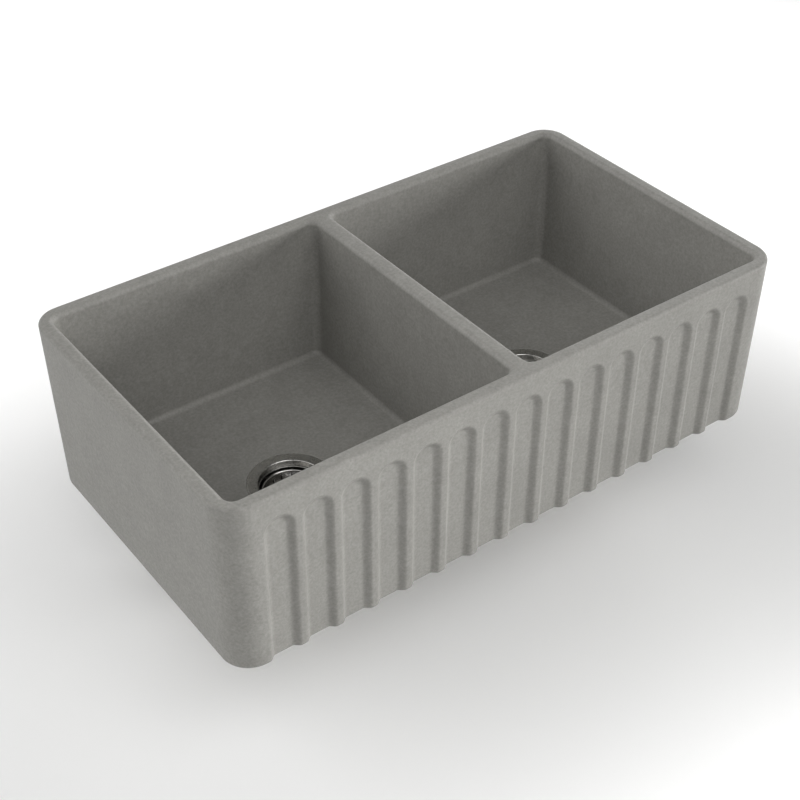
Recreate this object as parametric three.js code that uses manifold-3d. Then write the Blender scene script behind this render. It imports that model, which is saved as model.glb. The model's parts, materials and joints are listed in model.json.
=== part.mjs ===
// Double-bowl farmhouse sink with a fluted apron front and a basket strainer drain in each bowl.
// Millimetres, +Z up. The origin is the centre of the ceramic body's flat underside, +X points right
// and -Y is the side of the apron, seen by someone who stands at the sink.
import * as THREE from 'three';
import { mergeVertices } from 'three/addons/utils/BufferGeometryUtils.js';
import Module from 'manifold-3d';

const wasm = await Module();
wasm.setup();

// ---- Driving dimensions: ceramic body ----
const WIDTH = 846;
const DEPTH = 460;
const HEIGHT = 251;
const SIDE_DRAFT = 4; // how far each side leans in at the base
const FRONT_DRAFT = 2.1;
const BACK_DRAFT = 3.6;
const FRONT_CORNER_RADIUS = 38;
const BACK_CORNER_RADIUS = 35;
const RIM_FILLET = 4.5;
const BASE_FILLET = 5; // along the apron and round its corners
const BACK_BASE_FILLET = 1.5;
const SIDE_WALL = 20;
const FRONT_WALL = 20.4;
const BACK_WALL = 20;
const DIVIDER = 24.5;
const FLOOR_THICKNESS = 34; // from the underside to the bowl floor beside the drain
const FLOOR_FALL = 2; // from the foot of the walls down to the drain
const BOWL_RIM_FILLET = 7;
const BOWL_CORNER_RADIUS = 12;
const BOWL_COVE_RADIUS = 8;
const BOWL_DRAFT = 6; // how far each bowl wall leans in at the floor
const POCKET_DEPTH = 12; // hollow under each bowl
const FOOT_WIDTH = 34; // solid border and web that the body stands on
const POCKET_CORNER_RADIUS = 30;

// ---- Driving dimensions: flutes of the apron ----
const FLUTE_PITCH = 50.4;
const FLUTE_HALF_WIDTH = 22.5; // centre line to lip
const FLUTE_SHIFT = -2; // middle of the row from the body's centre line
const FLUTE_FLANK = 10.8; // plan width of each S-shaped side
const FLUTE_DEPTH = 6;
const FLUTE_TOP_DROP = 30.5; // rim down to the top of the arch
const FLUTE_END_MARGIN = 46; // least plain width left at each end of the apron

// ---- Driving dimensions: drains ----
const LEFT_DRAIN_X = -204;
const RIGHT_DRAIN_X = 190; // nearer to the divider than the left one
const DRAIN_Y = -8;
const DRAIN_HOLE_RADIUS = 45.5;
const FLANGE_RADIUS = 57;
const FLANGE_THICKNESS = 1.6;
const FLANGE_PROUD = 0.2; // flange top above the bowl floor
const LIP_RADIUS = 42.5;
const LIP_ROUND = 1.4;
const CUP_WALL = 1.7;
const CUP_STEP_DROP = 9.7; // floor level down to the ledge inside the cup
const CUP_STEP = 0.8;
const CUP_TAPER = 1.2;
const CUP_CORNER = 7;
const SPIGOT_BORE_RADIUS = 20.5;
const SPIGOT_WALL = 3.3;
const SPIGOT_LENGTH = 30;
const GASKET_THICKNESS = 1;
const WASHER_THICKNESS = 3;
const WASHER_RADIUS = 58;
const RING_THICKNESS = 1;
const RING_RADIUS = 56;
const LOCK_NUT_HEIGHT = 10;
const LOCK_NUT_RADIUS = 53;
const LOCK_NUT_LUG = 5;
const LOCK_NUT_LUGS = 8;
const THREAD_END = 3; // thread left bare under the lock nut
const SPIDER_ARMS = 4;
const SPIDER_ARM_WIDTH = 3;
const SPIDER_HEIGHT = 6;
const HUB_RADIUS = 5.2;
const TAILPIECE_RADIUS = 19;
const TAILPIECE_WALL = 1.5;
const TAILPIECE_LENGTH = 100;
const TAILPIECE_FLANGE = 2;
const TAILPIECE_WASHER = 2;
const COUPLING_NUT_WALL = 4.4;
const COUPLING_NUT_GRIP = 11; // thread engaged on the spigot
const COUPLING_NUT_LIP = 3.5;
const COUPLING_NUT_LUG = 2.6;
const COUPLING_NUT_LUGS = 6;

// ---- Driving dimensions: basket and stopper ----
const BASKET_RIM_RADIUS = 38.7;
const BASKET_RIM_DROP = 11.5; // floor level down to the basket's rim
const BASKET_RIM_ROLL = 1.3;
const BASKET_FOOT_RADIUS = 29;
const BASKET_WALL = 1;
const BASKET_CORNER = 6;
const BASKET_SLOTS = 16;
const BASKET_SLOT_WIDTH = 2.4;
const BASKET_HOLES = 6;
const BASKET_HOLE_RADIUS = 2.2;
const BASKET_HOLE_CIRCLE = 14;
const SEAL_RADIUS = 27;
const SEAL_THICKNESS = 4;
const SEAL_LIP = 1.2;
const RETAINER_RADIUS = 9;
const RETAINER_THICKNESS = 1.2;
const STEM_NUT_RADIUS = 4.9;
const STEM_NUT_HEIGHT = 2.8;
const STEM_RADIUS = 2.5;
const STEM_GROOVE = 0.4;
const STEM_TIP_LENGTH = 5; // below the hub
const CLIP_THICKNESS = 0.9;
const CLIP_WIDTH = 1.6;
const KNOB_RADIUS = 9;
const KNOB_CROWN = 4.5; // height of the domed top
const KNOB_POST_RADIUS = 4.4;
const KNOB_DROP = 3.8; // basket rim down to the knob's top
const KNOB_BORE_DEPTH = 18;

// ---- Clearances ----
const SEAT_GAP = 0.3; // between faces that rest or press on each other
const FIT_GAP = 0.3; // round a piece in its bore
const HUB_GAP = 0.7; // round the stem in the spider's hub
const THREAD_GAP = 0.3;
const CUT = 1; // how far a cutting shape runs past the face that it opens

// ---- Smoothness of the faceted surfaces ----
const CORNER_STEPS = 6;
const FILLET_STEPS = 3;
const COVE_STEPS = 3;
const ARCH_STEPS = 8;
const FLANK_STEPS = 4;
const DRAIN_SEGMENTS = 32;
const PIPE_SEGMENTS = 20;
const SMALL_SEGMENTS = 12;

// ---- Levels that follow from the sizes above ----
const FLOOR = FLOOR_THICKNESS;
const POCKET_CEILING = POCKET_DEPTH;
const REBATE_DEPTH = FLANGE_THICKNESS + GASKET_THICKNESS + 2 * SEAT_GAP - FLANGE_PROUD;
const REBATE_FLOOR = FLOOR - REBATE_DEPTH;
const GASKET_BOTTOM = REBATE_FLOOR + SEAT_GAP;
const FLANGE_BOTTOM = GASKET_BOTTOM + GASKET_THICKNESS + SEAT_GAP;
const FLANGE_TOP = FLANGE_BOTTOM + FLANGE_THICKNESS;
const WASHER_BOTTOM = POCKET_CEILING - SEAT_GAP - WASHER_THICKNESS;
const RING_BOTTOM = WASHER_BOTTOM - SEAT_GAP - RING_THICKNESS;
const LOCK_NUT_BOTTOM = RING_BOTTOM - SEAT_GAP - LOCK_NUT_HEIGHT;
const CUP_RADIUS = LIP_RADIUS + CUP_WALL;
const CUP_SHOULDER = LOCK_NUT_BOTTOM - THREAD_END;
const CUP_FLOOR = CUP_SHOULDER - CUP_CORNER;
const CUP_INSIDE_RADIUS = LIP_RADIUS - CUP_STEP;
const CUP_FOOT_RADIUS = CUP_INSIDE_RADIUS - CUP_TAPER;
const SPIGOT_RADIUS = SPIGOT_BORE_RADIUS + SPIGOT_WALL;
const SPIGOT_END = CUP_FLOOR - CUP_WALL - SPIGOT_LENGTH;
const SEAL_BOTTOM = CUP_FLOOR + SEAT_GAP;
const SEAL_TOP = SEAL_BOTTOM + SEAL_THICKNESS;
const BASKET_BOTTOM = SEAL_TOP + SEAT_GAP;
const BASKET_FLOOR = BASKET_BOTTOM + BASKET_WALL;
const BASKET_RIM = FLOOR - BASKET_RIM_DROP;
const RETAINER_TOP = SEAL_BOTTOM + SEAL_LIP - SEAT_GAP;
const STEM_NUT_TOP = RETAINER_TOP - RETAINER_THICKNESS - SEAT_GAP;
const CLIP_TOP = STEM_NUT_TOP - STEM_NUT_HEIGHT - SEAT_GAP;
const CLIP_BOTTOM = CLIP_TOP - CLIP_THICKNESS;
const HUB_TOP = CLIP_BOTTOM - SEAT_GAP;
const HUB_BOTTOM = HUB_TOP - SPIDER_HEIGHT;
const STEM_BOTTOM = HUB_BOTTOM - STEM_TIP_LENGTH;
const KNOB_BOTTOM = BASKET_FLOOR + SEAT_GAP;
const KNOB_TOP = BASKET_RIM - KNOB_DROP;
const TAIL_WASHER_BOTTOM = SPIGOT_END - SEAT_GAP - TAILPIECE_WASHER;
const TAIL_TOP = TAIL_WASHER_BOTTOM - SEAT_GAP;
const TAIL_FLANGE_BOTTOM = TAIL_TOP - TAILPIECE_FLANGE;
const COUPLING_LIP_TOP = TAIL_FLANGE_BOTTOM - SEAT_GAP;
const BOWL_WIDTH = (WIDTH - 2 * SIDE_WALL - DIVIDER) / 2;

// ---- Solids from closed meshes ----

function solid(geometry) {
  const bare = geometry.clone();
  bare.deleteAttribute('normal');
  bare.deleteAttribute('uv');
  const merged = mergeVertices(bare, 1e-4);
  const vertProperties = new Float32Array(merged.attributes.position.array);
  const triVerts = new Uint32Array(merged.index.array);
  return new wasm.Manifold(new wasm.Mesh({ numProp: 3, vertProperties, triVerts }));
}

function geometryOf(body) {
  const mesh = body.getMesh();
  const geometry = new THREE.BufferGeometry();
  const positions = new Float32Array(mesh.vertProperties);
  geometry.setAttribute('position', new THREE.BufferAttribute(positions, mesh.numProp));
  geometry.setIndex(new THREE.BufferAttribute(new Uint32Array(mesh.triVerts), 1));
  geometry.computeVertexNormals();
  return geometry;
}

// Closed surface through rings of equal point count, ordered so that they climb towards the last ring.
// Each ring runs anticlockwise seen from the side of the last one.
function loft(rings) {
  const count = rings[0].length;
  const points = rings.flat();
  const index = [];
  for (let ring = 0; ring < rings.length - 1; ring++) {
    for (let i = 0; i < count; i++) {
      const a = ring * count + i;
      const b = ring * count + ((i + 1) % count);
      index.push(a, b, b + count, a, b + count, a + count);
    }
  }
  const addCap = (ring, flip) => {
    const centre = new THREE.Vector3();
    for (const point of rings[ring]) {
      centre.addScaledVector(point, 1 / count);
    }
    points.push(centre);
    const middle = points.length - 1;
    for (let i = 0; i < count; i++) {
      const a = ring * count + i;
      const b = ring * count + ((i + 1) % count);
      index.push(middle, flip ? b : a, flip ? a : b);
    }
  };
  addCap(0, true);
  addCap(rings.length - 1, false);
  const geometry = new THREE.BufferGeometry().setFromPoints(points);
  geometry.setIndex(index);
  return geometry;
}

// Anticlockwise rounded rectangle at height z, starting at its front right corner.
function roundedRing({ left, right, front, back, frontRadius, backRadius, z }) {
  const corners = [
    [right - frontRadius, front + frontRadius, frontRadius, -Math.PI / 2],
    [right - backRadius, back - backRadius, backRadius, 0],
    [left + backRadius, back - backRadius, backRadius, Math.PI / 2],
    [left + frontRadius, front + frontRadius, frontRadius, Math.PI],
  ];
  const ring = [];
  for (const [x, y, radius, start] of corners) {
    for (let step = 0; step <= CORNER_STEPS; step++) {
      const angle = start + (step / CORNER_STEPS) * (Math.PI / 2);
      ring.push(new THREE.Vector3(x + radius * Math.cos(angle), y + radius * Math.sin(angle), z));
    }
  }
  return ring;
}

// Solid of revolution about Z from a closed profile of [radius, z] points.
function turned(profile, segments) {
  const outline = [...profile, profile[0]].map(([radius, z]) => new THREE.Vector2(radius, z));
  const geometry = new THREE.LatheGeometry(outline, segments);
  geometry.rotateX(Math.PI / 2);
  const body = solid(geometry);
  return body.volume() > 0 ? body : solid(flipped(geometry));
}

function flipped(geometry) {
  const copy = geometry.clone();
  copy.index.array.reverse();
  return copy;
}

// Points of a quarter circle from one angle to the next, in the plane of a turned profile.
function arc(radius, z, size, from, to, steps) {
  const points = [];
  for (let step = 0; step <= steps; step++) {
    const angle = from + (step / steps) * (to - from);
    points.push([radius + size * Math.cos(angle), z + size * Math.sin(angle)]);
  }
  return points;
}

function ringProfile(inner, outer, bottom, top) {
  return [[inner, bottom], [outer, bottom], [outer, top], [inner, top]];
}

function upright(radius, bottom, top, segments) {
  const geometry = new THREE.CylinderGeometry(radius, radius, top - bottom, segments);
  geometry.rotateX(Math.PI / 2);
  geometry.translate(0, 0, (top + bottom) / 2);
  return solid(geometry);
}

function block(xLow, xHigh, yLow, yHigh, zLow, zHigh) {
  const geometry = new THREE.BoxGeometry(xHigh - xLow, yHigh - yLow, zHigh - zLow);
  geometry.translate((xLow + xHigh) / 2, (yLow + yHigh) / 2, (zLow + zHigh) / 2);
  return solid(geometry);
}

// ---- Ceramic body ----

function leanAt(z) {
  return 1 - z / HEIGHT;
}

function frontFaceAt(z) {
  return -DEPTH / 2 + FRONT_DRAFT * leanAt(z);
}

function outerRing(z, frontInset, backInset) {
  const side = WIDTH / 2 - SIDE_DRAFT * leanAt(z);
  return roundedRing({
    left: -side + backInset,
    right: side - backInset,
    front: frontFaceAt(z) + frontInset,
    back: DEPTH / 2 - BACK_DRAFT * leanAt(z) - backInset,
    frontRadius: FRONT_CORNER_RADIUS - backInset,
    backRadius: BACK_CORNER_RADIUS - backInset,
    z,
  });
}

function outerShell() {
  const rings = [];
  for (let step = 0; step <= FILLET_STEPS; step++) {
    const angle = (step / FILLET_STEPS) * (Math.PI / 2);
    const inset = 1 - Math.sin(angle);
    rings.push(outerRing(BASE_FILLET * (1 - Math.cos(angle)), BASE_FILLET * inset, BACK_BASE_FILLET * inset));
  }
  for (let step = 0; step <= FILLET_STEPS; step++) {
    const angle = (step / FILLET_STEPS) * (Math.PI / 2);
    const inset = RIM_FILLET * (1 - Math.cos(angle));
    rings.push(outerRing(HEIGHT - RIM_FILLET * (1 - Math.sin(angle)), inset, inset));
  }
  return solid(loft(rings));
}

// One side's bowl: the limits of its opening at the rim.
function bowlLimits(side) {
  const inner = (side * DIVIDER) / 2;
  const outer = side * (DIVIDER / 2 + BOWL_WIDTH);
  return {
    left: Math.min(inner, outer),
    right: Math.max(inner, outer),
    front: -DEPTH / 2 + FRONT_WALL,
    back: DEPTH / 2 - BACK_WALL,
  };
}

function drainX(side) {
  return side < 0 ? LEFT_DRAIN_X : RIGHT_DRAIN_X;
}

function bowlRing(side, z, inset) {
  const limits = bowlLimits(side);
  return roundedRing({
    left: limits.left + inset,
    right: limits.right - inset,
    front: limits.front + inset,
    back: limits.back - inset,
    frontRadius: BOWL_CORNER_RADIUS - Math.min(inset, 0),
    backRadius: BOWL_CORNER_RADIUS - Math.min(inset, 0),
    z,
  });
}

function bowlCutter(side) {
  const coveTop = FLOOR + FLOOR_FALL + BOWL_COVE_RADIUS;
  const foot = bowlRing(side, FLOOR + FLOOR_FALL, BOWL_DRAFT + BOWL_COVE_RADIUS);
  const drain = foot.map((point) => {
    const angle = Math.atan2(point.y - DRAIN_Y, point.x - drainX(side));
    const rim = FLANGE_RADIUS + FIT_GAP;
    return new THREE.Vector3(drainX(side) + rim * Math.cos(angle), DRAIN_Y + rim * Math.sin(angle), FLOOR);
  });
  const rings = [drain, foot];
  for (let step = 1; step <= COVE_STEPS; step++) {
    const angle = (step / COVE_STEPS) * (Math.PI / 2);
    const inset = BOWL_DRAFT + BOWL_COVE_RADIUS * (1 - Math.sin(angle));
    rings.push(bowlRing(side, coveTop - BOWL_COVE_RADIUS * Math.cos(angle), inset));
  }
  for (let step = 0; step <= FILLET_STEPS; step++) {
    const angle = (step / FILLET_STEPS) * (Math.PI / 2);
    const flare = BOWL_RIM_FILLET * (1 - Math.cos(angle));
    rings.push(bowlRing(side, HEIGHT - BOWL_RIM_FILLET * (1 - Math.sin(angle)), -flare));
  }
  rings.push(bowlRing(side, HEIGHT + CUT, -BOWL_RIM_FILLET));
  return solid(loft(rings));
}

function pocketCutter(side) {
  const limits = bowlLimits(side);
  const ringAt = (z) => roundedRing({
    left: side > 0 ? FOOT_WIDTH / 2 : limits.left - SIDE_WALL + FOOT_WIDTH,
    right: side > 0 ? limits.right + SIDE_WALL - FOOT_WIDTH : -FOOT_WIDTH / 2,
    front: -DEPTH / 2 + FOOT_WIDTH,
    back: DEPTH / 2 - FOOT_WIDTH,
    frontRadius: POCKET_CORNER_RADIUS,
    backRadius: POCKET_CORNER_RADIUS,
    z,
  });
  return solid(loft([ringAt(-CUT), ringAt(POCKET_DEPTH)]));
}

// Share of the flute's depth at a distance inwards from its lip, as a soft S.
function flankDepth(fromLip) {
  return FLUTE_DEPTH * (1 - Math.cos((Math.PI * fromLip) / FLUTE_FLANK)) / 2;
}

// Upright arch with an open foot, drawn on the leaning front face at a depth into it.
function archRing(x, halfWidth, depth) {
  const springing = HEIGHT - FLUTE_TOP_DROP - FLUTE_HALF_WIDTH;
  const foot = -CUT;
  const at = (offset, z) => new THREE.Vector3(x + offset, frontFaceAt(z) + depth, z);
  const ring = [at(-halfWidth, foot), at(halfWidth, foot)];
  for (let step = 0; step <= ARCH_STEPS; step++) {
    const angle = (step / ARCH_STEPS) * Math.PI;
    ring.push(at(halfWidth * Math.cos(angle), springing + halfWidth * Math.sin(angle)));
  }
  return ring.reverse();
}

function fluteCutter(x) {
  const stepWidth = FLUTE_FLANK / FLANK_STEPS;
  const rings = [archRing(x, FLUTE_HALF_WIDTH + stepWidth, -flankDepth(stepWidth))];
  for (let step = 1; step <= FLANK_STEPS; step++) {
    rings.push(archRing(x, FLUTE_HALF_WIDTH - step * stepWidth, flankDepth(step * stepWidth)));
  }
  return solid(loft(rings));
}

function fluteCentres() {
  const between = WIDTH - 2 * FLUTE_END_MARGIN - 2 * FLUTE_HALF_WIDTH;
  const count = Math.floor(between / FLUTE_PITCH) + 1;
  return Array.from({ length: count }, (_, i) => FLUTE_SHIFT + (i - (count - 1) / 2) * FLUTE_PITCH);
}

function sinkBody() {
  let body = outerShell();
  for (const x of fluteCentres()) {
    body = body.subtract(fluteCutter(x));
  }
  for (const side of [-1, 1]) {
    const drainAt = [drainX(side), DRAIN_Y, 0];
    const rebate = upright(FLANGE_RADIUS + FIT_GAP, REBATE_FLOOR, FLOOR + CUT, DRAIN_SEGMENTS);
    const hole = upright(DRAIN_HOLE_RADIUS, -CUT, FLOOR + CUT, DRAIN_SEGMENTS);
    body = body.subtract(bowlCutter(side)).subtract(pocketCutter(side));
    body = body.subtract(rebate.translate(drainAt)).subtract(hole.translate(drainAt));
  }
  return body;
}

// ---- Drain: fixed pieces, each about its own axis ----

function strainerBody() {
  const quarter = Math.PI / 2;
  const stepLevel = FLOOR - CUP_STEP_DROP;
  const cup = turned([
    [FLANGE_RADIUS, FLANGE_BOTTOM],
    [FLANGE_RADIUS, FLANGE_TOP - FLANGE_THICKNESS / 2],
    [FLANGE_RADIUS - FLANGE_THICKNESS / 2, FLANGE_TOP],
    ...arc(LIP_RADIUS + LIP_ROUND, FLANGE_TOP - LIP_ROUND, LIP_ROUND, quarter, 2 * quarter, 2),
    [LIP_RADIUS, stepLevel],
    [CUP_INSIDE_RADIUS, stepLevel],
    [CUP_FOOT_RADIUS, CUP_SHOULDER],
    ...arc(CUP_FOOT_RADIUS - CUP_CORNER, CUP_SHOULDER, CUP_CORNER, 0, -quarter, FILLET_STEPS).slice(1),
    [SPIGOT_BORE_RADIUS, CUP_FLOOR],
    [SPIGOT_BORE_RADIUS, SPIGOT_END],
    [SPIGOT_RADIUS, SPIGOT_END],
    [SPIGOT_RADIUS, CUP_FLOOR - CUP_WALL],
    [CUP_RADIUS - CUP_CORNER, CUP_FLOOR - CUP_WALL],
    [CUP_RADIUS, CUP_SHOULDER],
    [CUP_RADIUS, FLANGE_BOTTOM],
  ], DRAIN_SEGMENTS);
  const reach = SPIGOT_BORE_RADIUS + SPIGOT_WALL / 2;
  let spider = upright(HUB_RADIUS, HUB_BOTTOM, HUB_TOP, SMALL_SEGMENTS);
  for (let arm = 0; arm < SPIDER_ARMS; arm++) {
    const bar = block(0, reach, -SPIDER_ARM_WIDTH / 2, SPIDER_ARM_WIDTH / 2, HUB_BOTTOM, HUB_TOP);
    spider = spider.add(bar.rotate([0, 0, (arm * 360) / SPIDER_ARMS]));
  }
  const bore = upright(STEM_RADIUS + HUB_GAP, HUB_BOTTOM - CUT, HUB_TOP + CUT, SMALL_SEGMENTS);
  return cup.add(spider).subtract(bore);
}

function flangeGasket() {
  const outer = FLANGE_RADIUS - FIT_GAP;
  const top = GASKET_BOTTOM + GASKET_THICKNESS;
  return turned(ringProfile(DRAIN_HOLE_RADIUS, outer, GASKET_BOTTOM, top), DRAIN_SEGMENTS);
}

function rubberWasher() {
  const inner = CUP_RADIUS + THREAD_GAP;
  const top = WASHER_BOTTOM + WASHER_THICKNESS;
  return turned(ringProfile(inner, WASHER_RADIUS, WASHER_BOTTOM, top), DRAIN_SEGMENTS);
}

function frictionRing() {
  const inner = CUP_RADIUS + THREAD_GAP;
  const top = RING_BOTTOM + RING_THICKNESS;
  return turned(ringProfile(inner, RING_RADIUS, RING_BOTTOM, top), DRAIN_SEGMENTS);
}

// Ring nut with square grip lugs round it.
function luggedNut({ inner, outer, bottom, top, lug, lugs, segments }) {
  const band = turned(ringProfile(inner, outer, bottom, top), segments);
  const lugWidth = (outer * Math.PI) / lugs / 2;
  let nut = band;
  for (let i = 0; i < lugs; i++) {
    const bar = block((inner + outer) / 2, outer + lug, -lugWidth / 2, lugWidth / 2, bottom, top);
    nut = nut.add(bar.rotate([0, 0, (i * 360) / lugs]));
  }
  return nut;
}

function lockNut() {
  return luggedNut({
    inner: CUP_RADIUS + THREAD_GAP,
    outer: LOCK_NUT_RADIUS,
    bottom: LOCK_NUT_BOTTOM,
    top: LOCK_NUT_BOTTOM + LOCK_NUT_HEIGHT,
    lug: LOCK_NUT_LUG,
    lugs: LOCK_NUT_LUGS,
    segments: DRAIN_SEGMENTS,
  });
}

function tailpieceWasher() {
  const top = TAIL_WASHER_BOTTOM + TAILPIECE_WASHER;
  return turned(ringProfile(TAILPIECE_RADIUS, SPIGOT_RADIUS, TAIL_WASHER_BOTTOM, top), PIPE_SEGMENTS);
}

function tailpiece() {
  const bore = TAILPIECE_RADIUS - TAILPIECE_WALL;
  return turned([
    [bore, TAIL_TOP],
    [bore, TAIL_TOP - TAILPIECE_LENGTH],
    [TAILPIECE_RADIUS, TAIL_TOP - TAILPIECE_LENGTH],
    [TAILPIECE_RADIUS, TAIL_FLANGE_BOTTOM],
    [SPIGOT_RADIUS, TAIL_FLANGE_BOTTOM],
    [SPIGOT_RADIUS, TAIL_TOP],
  ], PIPE_SEGMENTS);
}

function couplingNut() {
  const inner = SPIGOT_RADIUS + THREAD_GAP;
  const top = SPIGOT_END + COUPLING_NUT_GRIP;
  const shell = luggedNut({
    inner: TAILPIECE_RADIUS + FIT_GAP,
    outer: inner + COUPLING_NUT_WALL,
    bottom: COUPLING_LIP_TOP - COUPLING_NUT_LIP,
    top,
    lug: COUPLING_NUT_LUG,
    lugs: COUPLING_NUT_LUGS,
    segments: PIPE_SEGMENTS,
  });
  return shell.subtract(upright(inner, COUPLING_LIP_TOP, top + CUT, PIPE_SEGMENTS));
}

function stemClip() {
  const inner = STEM_RADIUS + FIT_GAP;
  return turned(ringProfile(inner, inner + CLIP_WIDTH, CLIP_BOTTOM, CLIP_TOP), SMALL_SEGMENTS);
}

// ---- Drain: the basket and its stopper ----

function basket() {
  const quarter = Math.PI / 2;
  const roll = BASKET_RIM_ROLL;
  const bore = STEM_RADIUS + FIT_GAP;
  const bend = [BASKET_FOOT_RADIUS - BASKET_CORNER, BASKET_BOTTOM + BASKET_CORNER];
  const shell = turned([
    [bore, BASKET_BOTTOM],
    [BASKET_FOOT_RADIUS - BASKET_CORNER, BASKET_BOTTOM],
    ...arc(...bend, BASKET_CORNER, -quarter, 0, FILLET_STEPS).slice(1),
    [BASKET_RIM_RADIUS - 2 * roll, BASKET_RIM - 2 * roll],
    [BASKET_RIM_RADIUS, BASKET_RIM - 2 * roll],
    ...arc(BASKET_RIM_RADIUS - roll, BASKET_RIM - roll, roll, 0, quarter, 2),
    [BASKET_RIM_RADIUS - 2 * roll, BASKET_RIM - roll / 2],
    [BASKET_FOOT_RADIUS - BASKET_WALL, BASKET_BOTTOM + BASKET_CORNER],
    ...arc(...bend, BASKET_CORNER - BASKET_WALL, 0, -quarter, FILLET_STEPS).slice(1),
    [bore, BASKET_FLOOR],
  ], DRAIN_SEGMENTS);
  const slotTop = BASKET_RIM - 4 * roll;
  const slotBottom = BASKET_BOTTOM - CUT;
  const slotStart = BASKET_HOLE_CIRCLE + BASKET_HOLE_RADIUS + BASKET_SLOT_WIDTH;
  const halfFacet = 180 / DRAIN_SEGMENTS;
  let pierced = shell;
  for (let i = 0; i < BASKET_SLOTS; i++) {
    const half = BASKET_SLOT_WIDTH / 2;
    const slot = block(slotStart, BASKET_RIM_RADIUS, -half, half, slotBottom, slotTop);
    pierced = pierced.subtract(slot.rotate([0, 0, (i * 360) / BASKET_SLOTS + halfFacet]));
  }
  for (let i = 0; i < BASKET_HOLES; i++) {
    const hole = upright(BASKET_HOLE_RADIUS, slotBottom, BASKET_FLOOR + CUT, SMALL_SEGMENTS);
    const outwards = hole.translate([BASKET_HOLE_CIRCLE, 0, 0]);
    pierced = pierced.subtract(outwards.rotate([0, 0, (i * 360) / BASKET_HOLES]));
  }
  return pierced;
}

function basketStem() {
  const groove = STEM_RADIUS - STEM_GROOVE;
  const top = KNOB_BOTTOM + KNOB_BORE_DEPTH - SEAT_GAP;
  return turned([
    [0, STEM_BOTTOM],
    [STEM_RADIUS / 2, STEM_BOTTOM],
    [STEM_RADIUS, STEM_BOTTOM + STEM_RADIUS],
    [STEM_RADIUS, CLIP_BOTTOM - SEAT_GAP / 2],
    [groove, CLIP_BOTTOM + SEAT_GAP / 2],
    [groove, CLIP_TOP - SEAT_GAP / 2],
    [STEM_RADIUS, CLIP_TOP + SEAT_GAP / 2],
    [STEM_RADIUS, top],
    [0, top],
  ], SMALL_SEGMENTS);
}

function basketKnob() {
  const bore = STEM_RADIUS + FIT_GAP;
  const crownFoot = KNOB_TOP - KNOB_CROWN;
  return turned([
    [0, KNOB_BOTTOM + KNOB_BORE_DEPTH],
    [bore, KNOB_BOTTOM + KNOB_BORE_DEPTH],
    [bore, KNOB_BOTTOM],
    [KNOB_POST_RADIUS, KNOB_BOTTOM],
    [KNOB_POST_RADIUS, crownFoot - KNOB_CROWN],
    [KNOB_RADIUS, crownFoot],
    ...arc(KNOB_RADIUS - KNOB_CROWN, crownFoot, KNOB_CROWN, 0, Math.PI / 2, 2).slice(1),
    [0, KNOB_TOP],
  ], PIPE_SEGMENTS);
}

function stopperSeal() {
  const bore = STEM_RADIUS + FIT_GAP;
  return turned([
    [bore, SEAL_BOTTOM + SEAL_LIP],
    [SEAL_RADIUS - 2 * SEAL_THICKNESS, SEAL_BOTTOM + SEAL_LIP],
    [SEAL_RADIUS - SEAL_THICKNESS, SEAL_BOTTOM],
    [SEAL_RADIUS - SEAL_LIP, SEAL_BOTTOM],
    [SEAL_RADIUS, SEAL_BOTTOM + SEAL_LIP],
    [SEAL_RADIUS - SEAL_LIP, SEAL_TOP],
    [bore, SEAL_TOP],
  ], DRAIN_SEGMENTS);
}

function sealRetainer() {
  const bottom = RETAINER_TOP - RETAINER_THICKNESS;
  return turned(ringProfile(STEM_RADIUS + FIT_GAP, RETAINER_RADIUS, bottom, RETAINER_TOP), PIPE_SEGMENTS);
}

function stemNut() {
  const hexagon = new THREE.Shape();
  hexagon.setFromPoints(Array.from({ length: 6 }, (_, i) => {
    const angle = (i * Math.PI) / 3;
    return new THREE.Vector2(STEM_NUT_RADIUS * Math.cos(angle), STEM_NUT_RADIUS * Math.sin(angle));
  }));
  const bore = new THREE.Path();
  bore.absarc(0, 0, STEM_RADIUS + THREAD_GAP, 0, 2 * Math.PI, true);
  hexagon.holes.push(bore);
  const geometry = new THREE.ExtrudeGeometry(hexagon, {
    depth: STEM_NUT_HEIGHT,
    bevelEnabled: false,
    curveSegments: SMALL_SEGMENTS,
  });
  geometry.translate(0, 0, STEM_NUT_TOP - STEM_NUT_HEIGHT);
  return solid(geometry);
}

// ---- Assembly ----

const FINISHES = {
  ceramic: { color: 0x94938c, roughness: 0.85, metalness: 0 },
  polishedSteel: { color: 0xc4c6c8, roughness: 0.15, metalness: 1 },
  brushedSteel: { color: 0xa8aaac, roughness: 0.35, metalness: 1 },
  brass: { color: 0xc2a15a, roughness: 0.3, metalness: 1 },
  rubber: { color: 0x1d1d1e, roughness: 0.8, metalness: 0 },
  fibre: { color: 0xb9a98a, roughness: 0.9, metalness: 0 },
};

function named(name, body, finish) {
  const mesh = new THREE.Mesh(geometryOf(body), new THREE.MeshStandardMaterial(FINISHES[finish]));
  mesh.name = name;
  return mesh;
}

const DRAIN_PIECES = [
  ['strainer_body', strainerBody(), 'polishedSteel'],
  ['flange_gasket', flangeGasket(), 'rubber'],
  ['rubber_washer', rubberWasher(), 'rubber'],
  ['friction_ring', frictionRing(), 'fibre'],
  ['lock_nut', lockNut(), 'brass'],
  ['tailpiece_washer', tailpieceWasher(), 'rubber'],
  ['tailpiece', tailpiece(), 'polishedSteel'],
  ['coupling_nut', couplingNut(), 'brass'],
  ['stem_clip', stemClip(), 'brushedSteel'],
  ['basket', basket(), 'polishedSteel'],
  ['basket_stem', basketStem(), 'brushedSteel'],
  ['basket_knob', basketKnob(), 'polishedSteel'],
  ['stopper_seal', stopperSeal(), 'rubber'],
  ['seal_retainer', sealRetainer(), 'brushedSteel'],
  ['stem_nut', stemNut(), 'brass'],
];

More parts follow.
